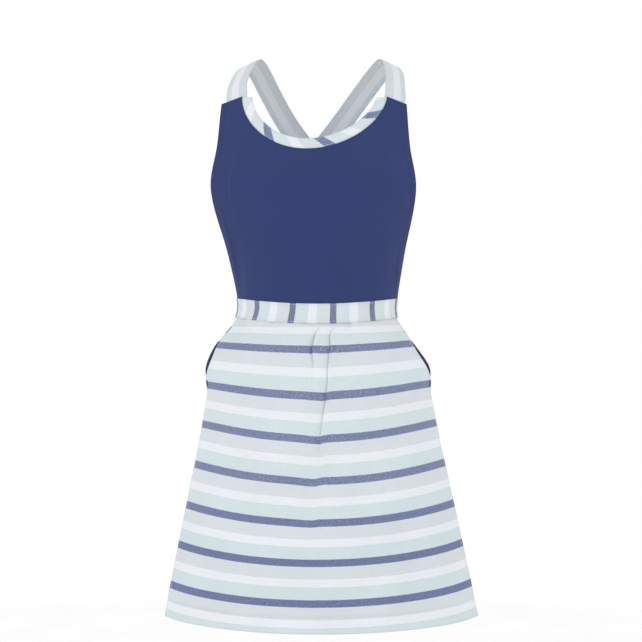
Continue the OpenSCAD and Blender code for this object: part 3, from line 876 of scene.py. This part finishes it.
# At each distance below the waistband, the main tuck's distance from the middle, and the second
# tuck's distance from the main one
MAIN_TUCK_X = np.array([[0, 17], [36, 17], [60, 13], [90, 11], [115, 8], [155, 1], [175, -1],
                        [230, -10], [300, -14], [460, -16]], float)
TUCK_APART = np.array([[0, 20], [16, 21], [38, 27], [56, 24], [80, 22], [460, 22]], float)
MAIN_TUCK_W, SECOND_TUCK_W = 4.2, 3.8
# Small gathers in the waist seam: place from the middle, how far down they reach, and size
GATHERS = ((45, 55, 1.6), (-68, 60, 0.9), (-58, 45, 0.7), (88, 40, 0.6), (118, 60, 0.9), (-112, 70, 0.8))


def below(z):
    return np.clip((SKIRT_TOP_Z - z) / SKIRT_LEN, 0, 1)


def side_edge(z):
    return mix(SKIRT_TOP_EDGE, SKIRT_HEM_EDGE, below(z))


def mouth(z):
    return hump((MOUTH_TOP - z) / MOUTH_H)


def skirt_edge(z):
    return side_edge(z) - MOUTH_CUT * mouth(z)


def stripe_phase(height):
    """Place in the stripe repeat, in repeats, at a height above the hem along the cloth."""
    heights = (NAVY_HEIGHTS[0] - NAVY_STEP, *NAVY_HEIGHTS, NAVY_HEIGHTS[-1] + NAVY_STEP)
    return np.interp(height, heights, np.arange(len(heights)))


def tuck_line(z):
    return np.interp(SKIRT_TOP_Z - z, *MAIN_TUCK_X.T)


def skirt_angle(k, z):
    """Skin angle of column k, -1 to 1. Column 0 follows the main tuck."""
    x = tuck_line(z) - skin_sway(z)
    return k * skirt_edge(z) + skin_angle(x, z) * (1 - k * k)


def fold(q, width):
    t = q / width
    return t * np.exp((1 - t * t) / 2)


def tucks(flat_x, z):
    """Distance across the cloth from each tuck, and how deep it is at this height."""
    drop = SKIRT_TOP_Z - z
    main = flat_x - tuck_line(z)
    second = main + np.interp(drop, *TUCK_APART.T)
    starts = ease((drop - 2) / 16)
    deep_main = starts * (2.2 * (1 - ease((drop - 30) / 60)) + 5 * (1 - ease((drop - 120) / 110)))
    return main, second, deep_main, starts * 7.5 * (1 - ease((drop - 22) / 70))


def tuck_shade(flat_x, z):
    """Painted shadow on the under layer beside each tuck's folded edge."""
    main, second, deep_main, deep_second = tucks(flat_x, z)
    wedge = 0.8 + 2.6 * hump((SKIRT_TOP_Z - z - 8) / 44)
    shade = 0
    for across, deep, width, reach, dark in ((main, deep_main, MAIN_TUCK_W, 1.1, 1),
                                             (second, deep_second, SECOND_TUCK_W, wedge, 1.7)):
        uncovered = (width - deep) - (across - deep * fold(across, width))
        under = np.where(across < 0, np.exp(-np.maximum(uncovered, 0) / reach), 0)
        shade = shade + dark * under * ease((deep - 2) / 4)
    return shade


def skirt(k, z):
    angle = skirt_angle(k, z)
    flat_x = skin(angle, z)[..., 0]
    drop = SKIRT_TOP_Z - z
    main, second, deep_main, deep_second = tucks(flat_x, z)
    main_fold = deep_main * fold(main, MAIN_TUCK_W)
    second_fold = deep_second * fold(second, SECOND_TUCK_W)
    out = 0.24 * main_fold + 0.26 * second_fold
    # a soft crease runs on below each tuck
    out = (out + 1.1 * fold(main, 7) * hump((drop - 60) / 240)
           + 0.6 * fold(second, 6) * hump((drop - 30) / 150))
    for x0, reach, high in GATHERS:
        out = out + high * fold(flat_x - x0, 4) * (1 - ease(drop / reach))
    # slow flares towards the hem, and the cloth's own unevenness
    flare = 2.6 * below(z) ** 1.4 * soft_noise(k * 5.5, z / 260, 53)
    out = out + flare * ease((1 - np.abs(k)) * 8 + 0.35)
    out = out + 0.35 * soft_noise(flat_x / 16, z / 22, 54)
    edge = np.abs(skirt_edge(z) - np.abs(angle)) * np.pi / 180 * half_width(z) * 0.6
    out = out + 0.35 * near_edge(edge, 7) - 0.25 * bell((z - HEM_Z - HEM_STITCH) / 1.2)
    tangent = unit(skin(angle + 0.5, z) - skin(angle - 0.5, z))
    moved = (off_skin(angle, z, CLOTH_MID + out) - tangent * (main_fold + second_fold)[..., None])
    beside = np.where(main < 0, bell(main / 19), bell(main / 5.5))
    moved[..., 2] -= 2.9 * hump((drop - 15) / 330) * beside
    return moved


def skirt_top(angle):
    return waist_top(angle) - BAND_H + SEAM - 1


def skirt_at(k, share):
    """The skirt at a column and a share of its height above the hem."""
    return skirt(k, mix(HEM_Z, skirt_top(k * SKIRT_TOP_EDGE), share))


def on_skirt(k, z, out=0.36):
    return seam_line(skirt, k, z, out, 0.004, 1)


columns = spaced((-1, -0.94, 0.006), (-0.94, -0.17, 0.011), (-0.17, 0.08, 0.0032),
                 (0.08, 0.94, 0.011), (0.94, 1, 0.006))
points, k, share = grid_of(skirt_at, columns, spaced((0, 0.03, 0.005), (0.03, 1, 0.0078)))
z = mix(HEM_Z, skirt_top(k * SKIRT_TOP_EDGE), share)
angle = skirt_angle(k, z)
plain = skin(angle, z)
height = travel(np.swapaxes(plain, 0, 1)).T
# a flared skirt's stripes run straight round it on the flat, and so rise towards its sides
rise = SIDE_RISE * hump(below(z) ** 0.75) + HEM_RISE * below(z) ** 2
rise = rise * sin_d(1.2 * np.abs(angle)) ** 2 + STRIPE_TILT * sin_d(angle)
front_z = np.linspace(HEM_Z, WAIST_Z, 400)
front = travel(skin(np.zeros(400), front_z))
phase = stripe_phase(np.interp(z - rise, front_z, front))
# painted shade at the skirt's side edges and hem, and along the hem stitching
seam = np.maximum.reduce([near_edge((1 - np.abs(k)) * 190, 2.5), near_edge(height, 2.5),
                          0.4 * bell((height - HEM_STITCH) / 1.1)])
# painted shadow beside the tucks' folded edges
seam = seam + 1.5 * tuck_shade(plain[..., 0], z)
# fewer flecks towards the hem, so the lower stripes come out darker
piece = cloth("skirt", ["skirt_panel"], points, phase, np.stack([travel(plain), height], -1),
              STRIPED, 0.7, seam, fleck_fade=0.42 * ease((below(z) - 0.5) / 0.22))

lines = [on_skirt(np.linspace(-0.985, 0.985, 700), HEM_Z + HEM_STITCH)]
z_side = np.linspace(MOUTH_TOP - MOUTH_H - 6, HEM_Z + 3, 300)
z_mouth = np.linspace(MOUTH_TOP - 1, MOUTH_TOP - MOUTH_H, 120)
for side in (LEFT, RIGHT):
    lines += [on_skirt(side * 0.975, z_side), on_skirt(side * 0.972, z_mouth),
              on_skirt(side * 0.945, z_mouth)]
sewing = stitches("skirt_stitching", lines, pitch=3.1)


def hem_inside(u, w):
    return on_skirt(u, HEM_Z + w, -1.15)[0]


points, u, w = grid_of(hem_inside, np.linspace(-0.985, 0.985, 181), np.linspace(0.5, HEM_STITCH, 9))
grain = flat_grid(points)
# painted shade at the turning's top edge
piece = cloth("hem_turning", ["bottom_hem"], points, -stripe_phase(grain[..., 1]), grain, STRIPED,
              0.6, near_edge(HEM_STITCH - w, 2))

SIDE_HEM_W = 3
for side, label in SIDES:
    def side_turning(w, z):
        return on_skirt(side * (1 - w / side_edge(z)), z, -1.0)[0]

    points, w, z = grid_of(side_turning, np.linspace(0.3, SIDE_HEM_W, 6)[::-side],
                           np.linspace(HEM_Z + HEM_STITCH + 4, SKIRT_TOP_Z - POCKET_DEEP - 8, 90))
    piece = cloth("side_turning_" + label, ["side_hem_" + label], points,
                  stripe_phase((z - HEM_Z) * 1.05), flat_grid(points), STRIPED)

# ---- pockets ----

POCKET_INNER = 38
POCKET_ROOM = 12
MOUTH_ROOM = 9
BAG_TOP = SKIRT_TOP_Z + 3
BAG_LOW = SKIRT_TOP_Z - POCKET_DEEP
BAG_ROUND = 45
BAG_STITCH = 5


def bag_inner(z):
    s = np.clip((BAG_LOW + BAG_ROUND - z) / BAG_ROUND, 0, 1)
    return POCKET_INNER + (1 - np.sqrt(1 - s * s)) * 14


def bag_room(u, z):
    down = np.clip((BAG_TOP - z) / (BAG_TOP - BAG_LOW), 0, 1)
    return (POCKET_ROOM * np.sin(np.pi * np.clip(u, 0, 1) ** 0.8) * hump(down)
            + MOUTH_ROOM * hump(1.6 * u - 0.6) * mouth(z))


for side, label in SIDES:
    def pocket_lining(u, z):
        angle = mix(bag_inner(z), skirt_edge(z) - 0.8, u)
        return off_skin(side * angle, z, -1.8 * GAP - LAYER / 2)

    def pocket_back(u, z):
        angle = mix(bag_inner(z), side_edge(z) - 1.2 + MOUTH_WRAP * mouth(z), u)
        slack = 0.8 * soft_noise(u * 4, z / 30, 61 + side) * hump(u)
        return off_skin(side * angle, z, -2.8 * GAP - 1.5 * LAYER - bag_room(u, z) + slack)

    for part, surface, size in (("pocket_lining", pocket_lining, (0.1, 0.165)),
                                ("pocket_back", pocket_back, (0.12, 0.165))):
        points, u, z = grid_of(surface, np.linspace(0, 1, 61)[::side], np.linspace(BAG_LOW, BAG_TOP, 81))
        # painted shade near the bag's edges
        edge = np.minimum(np.minimum(u, 1 - u) * size[0] / MM, np.minimum(z - BAG_LOW, BAG_TOP - z))
        piece = cloth(part + "_cloth_" + label, [f"{part}_{label}"], points, 0.5,
                      flat_grid(points), POCKET_COTTON, 0.55, near_edge(edge, 2.5))
        pieces = []
        if part == "pocket_back":
            run = np.linspace(BAG_LOW + BAG_STITCH, BAG_TOP - BAG_STITCH, 160)
            lines = both_faces(surface, BAG_STITCH / 80, run, 0.3, 0.004, 1)
            lines += both_faces(surface, np.linspace(0.05, 0.95, 120), BAG_LOW + BAG_STITCH, 0.3, 0.004, 1)
            pieces = [stitches("pocket_stitching_" + label, lines, NAVY_THREAD)]

TACK_W, TACK_H = 1.7, 9.0
TACK_IN = 3.6
lines = []
for side in (LEFT, RIGHT):
    for top in (MOUTH_TOP, MOUTH_TOP - MOUTH_H):
        middle = side * (side_edge(top) - TACK_IN)
        wide = math.degrees(TACK_W / 2 / half_width(top)) * 1.5
        ends = np.array([middle - wide, middle + wide])
        for z0 in np.arange(top - TACK_H / 2, top + TACK_H / 2, 0.55):
            lines.append((off_skin(ends, z0, np.full(2, 1.35)), skin_normal(ends, z0)))
tacks = stitches("pocket_tacks", lines, NAVY_THREAD, 2.6, 0.3)
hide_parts("pocket_bartacks")

# ---- care label ----

LABEL_W, LABEL_H = 32, 40
LABEL_ANGLE = -22.0
LABEL_IN = 3.6
label_z = waist_top(LABEL_ANGLE) - BAND_H + 2
label_top = skin(LABEL_ANGLE, label_z)
label_out = unit(skin_normal(LABEL_ANGLE, label_z) * [1, 1, 0])
label_x = np.array([-label_out[1], label_out[0], 0])


def care_label(u, v):
    curl = 0.5 * (u / LABEL_W * 2) ** 2 * v + 0.5 * v**2
    return (label_top - label_out * (LABEL_IN + curl)[..., None] + label_x * u[..., None]
            - np.array([0, 0, LABEL_H]) * v[..., None])


points, u, v = grid_of(care_label, np.linspace(-LABEL_W / 2, LABEL_W / 2, 25), np.linspace(1, 0, 31))
piece = cloth("label", ["care_label"], points, v * 0.999, flat_grid(points), label_satin(), 0.45,
              body="label")
sewing = stitches("label_stitching",
                  [seam_line(care_label, np.linspace(-14, 14, 20), 0.06, 0.25, 0.5, -0.02)],
                  pitch=2.6, size=0.2, body="label")

# ---- ties and bow ----

TIE_START = BAND_END - 9
TIE_STOP = 172.6
TIE_LIFT = 6
KNOT_BACK = 13
KNOT_SIZE = np.array([27, 17, 34], float)
KNOT_AT = skin(180, TIE_Z) + [0, KNOT_BACK, 0]
TIE_EDGE = 0.42  # the edge stitching's place across a tie, in shares of its width


def tie_phase(v):
    return 0.5 + (v * TIE_W - STRAP_WHITE) / REPEAT


# painted shade along a tie's edges
def tie_edge_shade(v):
    return near_edge((0.5 - np.abs(v)) * TIE_W, 1.5)


def pleats(high, across, sway, along):
    return high * np.cos(2 * np.pi * (across + sway * np.sin(along)))


for side, label in SIDES:
    def tie(a, v):
        share = (np.abs(a) - TIE_START) / (TIE_STOP - TIE_START)
        wide = mix(BAND_H - 4, TIE_W * 0.5, ease(share))
        crushed = pleats(1.3 * ease(1.3 * share - 0.25), 3.2 * v, 0.18, a / 9)
        return off_skin(a, TIE_Z + v * wide, 0.4 + TIE_LIFT * ease(1.5 * share - 0.5) + crushed
                        + 0.4 * hump(share) * soft_noise(a / 7, v * 4, 71))

    # the tie runs on into the knot, where its end can't be seen
    ends = side * np.linspace(TIE_START, TIE_STOP + 3.5, 121)[::side]
    points, a, v = grid_of(tie, ends, np.linspace(-0.5, 0.5, 33))
    piece = cloth("waist_tie_cloth_" + label, ["waist_tie_" + label], points, tie_phase(v),
                  np.stack([travel(points), v * TIE_W], -1), STRIPED, 0.7, tie_edge_shade(v))
    run_a = np.linspace(BAND_END + 0.5, TIE_STOP, 260) * side
    sewing = stitches("waist_tie_stitching_" + label,
                      [seam_line(tie, run_a, v0, 0.36, 0.3, 0.02) for v0 in (-TIE_EDGE, TIE_EDGE)],
                      size=0.2)


def knot(turn, w):
    """The band of the knot: wrapped top to bottom round the crossing of the ties."""
    side_pull = 1 - 0.42 * np.abs(w) ** 3.2
    creases = pleats(0.9, 2.4 * w, 0.12, 2 * turn + 1) * (1 - 0.3 * np.abs(w))
    half_y, half_z = KNOT_SIZE[1] / 2 - 1.2, KNOT_SIZE[2] / 2 - 1.4
    cy, cz = np.cos(turn), np.sin(turn)
    y = (half_y * side_pull + creases) * np.sign(cy) * np.abs(cy) ** 0.8
    z = (half_z * side_pull + creases * 0.8) * np.sign(cz) * np.abs(cz) ** 0.85
    x = KNOT_SIZE[0] / 2 * (w + 0.07 * np.sin(turn))
    # the wrap's end lies under its start
    return KNOT_AT + np.stack([x, y - 0.9 * ease((turn - 2.6) / 0.5), z], -1)


points, turn, w = grid_of(knot, np.linspace(-math.pi - 0.2, math.pi + 0.1, 121), np.linspace(1, -1, 41))
# painted shade near the knot band's edges
piece = cloth("knot_cloth", ["bow_knot"], points, tie_phase(w / 2),
              np.stack([w * TIE_W / 2, travel(points)], -1), STRIPED, 0.9,
              near_edge((1 - np.abs(w)) * 15, 1.6))

LOOP_REACH = 104
LOOP_GAP = 5
LOOP_DROOP = 26
TAIL_OUT = 15


def sewn_ribbon(name, node, surface, length, steps, seam, edge_run, more, body, span):
    """A bow's loop or tail, with the stitches along its edges on both faces."""
    points, s, v = grid_of(surface, np.linspace(0, length, steps[0]), np.linspace(0.5, -0.5, steps[1]))
    piece = cloth(name, [node], points, tie_phase(v), np.stack([v * TIE_W, s], -1), STRIPED, 1.0,
                  seam(s, v), body=body, span=span)
    lines = [line for v0 in (TIE_EDGE, -TIE_EDGE)
             for line in both_faces(surface, edge_run, v0, 0.52, 1, -0.02)]
    part, label = name.split("_")
    sewing = stitches(f"{part}_stitching_{label}", lines + more, body=body, span=span)
    return piece, sewing


for side, label in SIDES:
    root = KNOT_AT + [side * (KNOT_SIZE[0] / 2 + LOOP_GAP), 0, 0]
    reach = LOOP_REACH - KNOT_SIZE[0] / 2 - LOOP_GAP

    def row(place, out, back, n_out, n_back):
        down = out * math.tan(math.radians(LOOP_DROOP)) * 0.8
        return [place, root[0] + side * out, root[1] + back, root[2] - down, side * n_out, n_back, 0]

    loop = Ribbon([
        row(-14, -13, 1.2, -0.3, 1),
        row(0, 0, 3, -0.35, 1),
        row(30, reach * 0.3, 11, -0.3, 1),
        row(62, reach * 0.68, 17, 0.05, 1),
        row(86, reach * 0.94, 13, 0.8, 0.6),
        row(98, reach, 5, 1, 0),
        row(110, reach * 0.94, -3, 0.8, -0.6),
        row(134, reach * 0.68, -7, 0.05, -1),
        row(166, reach * 0.3, -6, -0.3, -1),
        row(196, 0, -3, -0.35, -1),
        row(210, -13, -1.2, -0.3, -1),
    ])

    def loop_surface(distance, v):
        t = distance / loop.length
        wide = mix(TIE_W * 0.3, TIE_W, ease(2.6 * hump(t) - 0.25))
        crush = 1 - ease((np.minimum(distance, loop.length - distance) - 8) / 55)
        crushed = pleats(1.5 * crush, 2.1 * v, 0.1, distance / 14)
        wave = 0.8 * soft_noise(distance / 28, v * 2.2, 81 + side) * hump(t)
        return loop.point(distance, v * wide, crushed + wave)

    piece, sewing = sewn_ribbon(
        "loop_" + label, "bow_loop_" + label, loop_surface, loop.length, (151, 31),
        # painted shade along the loop's edges
        lambda s, v: tie_edge_shade(v), np.linspace(16, loop.length - 16, 260), [],
        "loop_" + label, (KNOT_AT + [side * 8, 0, 0], root + [side * 9, 0, 0]))

    top = KNOT_AT + [side * 10, 0, -KNOT_SIZE[2] / 2 - 2]

    def hang(place, out, back, turn):
        return [place, top[0] + side * out, top[1] + back, top[2] - place * TAIL_LEN, side * turn, 1, 0]

    tail = Ribbon([
        hang(-0.04, -4, -1, 0.1),
        hang(0, 0, 0, 0.1),
        hang(0.15, 4, 3, 0.35),
        hang(0.4, TAIL_OUT * 0.62, 2, 0.1),
        hang(0.7, TAIL_OUT * 0.85, -3, -0.25),
        hang(1, TAIL_OUT, -1, 0.15),
    ])

    def tail_surface(distance, v):
        wide = mix(TIE_W * 0.42, TIE_W, ease((distance - 6) / 75))
        crush = 1 - ease((distance - 10) / 90)
        crushed = pleats(1.4 * crush, 2.1 * v, 0.12, distance / 17)
        cup = 1.6 * (1 - crush) * (2 * v) ** 2 * np.sin(distance / 47 + side)
        uneven = 0.7 * soft_noise(distance / 40, v * 2, 91 + side)
        return tail.point(distance, v * wide, crushed + cup + uneven)

    piece, sewing = sewn_ribbon(
        "tail_" + label, "tie_tail_" + label, tail_surface, tail.length, (171, 27),
        # painted shade along the tail's edges and at its end
        lambda s, v: np.maximum(tie_edge_shade(v), near_edge(tail.length - s, 2)),
        np.linspace(8, tail.length - 3, 300),
        both_faces(tail_surface, tail.length - 8, np.linspace(TIE_EDGE, -TIE_EDGE, 20), 0.52, 1,
                   -0.02),
        "tail_" + label, (top + [0, 0, 6], top - [0, 0, 10]))

# ---- buttons, carried over from the CAD model ----

resin = button_resin()
for _, label in SIDES:
    for node, material in (("strap_button_", resin), ("button_thread_", NAVY_THREAD)):
        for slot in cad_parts[node + label].material_slots:
            slot.material = material

# ---- room, light and camera ----

CAMERA_AT = (0, -2.5, -0.398)
LENS = 90.84
SENSOR = 36
FLOOR_Z = HEM_Z - 420
FLOOR_R = 2600
MIDDLE = (0, 0, -0.42)

bpy.ops.mesh.primitive_circle_add(vertices=96, radius=FLOOR_R * MM, fill_type="NGON",
                                  location=(0, 0, FLOOR_Z * MM))
floor = bpy.context.object
floor.name = "floor"
n = Nodes("floor_paint")
cloud = n.add("TexNoise", None, Vector=n.spot(), Scale=6.0, Detail=3.0).outputs[0]
paint = n.ramp(cloud, [(0.3, linear((251, 251, 252))), (0.7, linear((254, 254, 254)))])
floor.data.materials.append(n.finish(paint, None, n.range(cloud, 0.75, 0.85)))

scene = bpy.context.scene
scene.view_settings.view_transform = "Standard"
scene.view_settings.look = "None"
world = bpy.data.worlds.new("studio")
scene.world = world
world.use_nodes = True
world.node_tree.nodes["Background"].inputs["Color"].default_value = (1, 1, 1, 1)
world.node_tree.nodes["Background"].inputs["Strength"].default_value = 1.0

for name, at, size, power in (("key", (-1.6, -1.9, 0.9), 1.2, 6), ("fill", (1.9, -1.7, 0.1), 1.6, 1.5)):
    light = bpy.data.lights.new(name, "AREA")
    light.shape = "DISK"
    light.size = size
    light.energy = power
    thing = bpy.data.objects.new(name, light)
    scene.collection.objects.link(thing)
    thing.location = at
    thing.rotation_euler = (Vector(MIDDLE) - Vector(at)).to_track_quat("-Z", "Y").to_euler()

camera = bpy.data.cameras.new("camera")
camera.lens = LENS
camera.sensor_width = SENSOR
lens = bpy.data.objects.new("camera", camera)
scene.collection.objects.link(lens)
lens.location = CAMERA_AT
lens.rotation_euler = (math.pi / 2, 0, 0)
scene.camera = lens
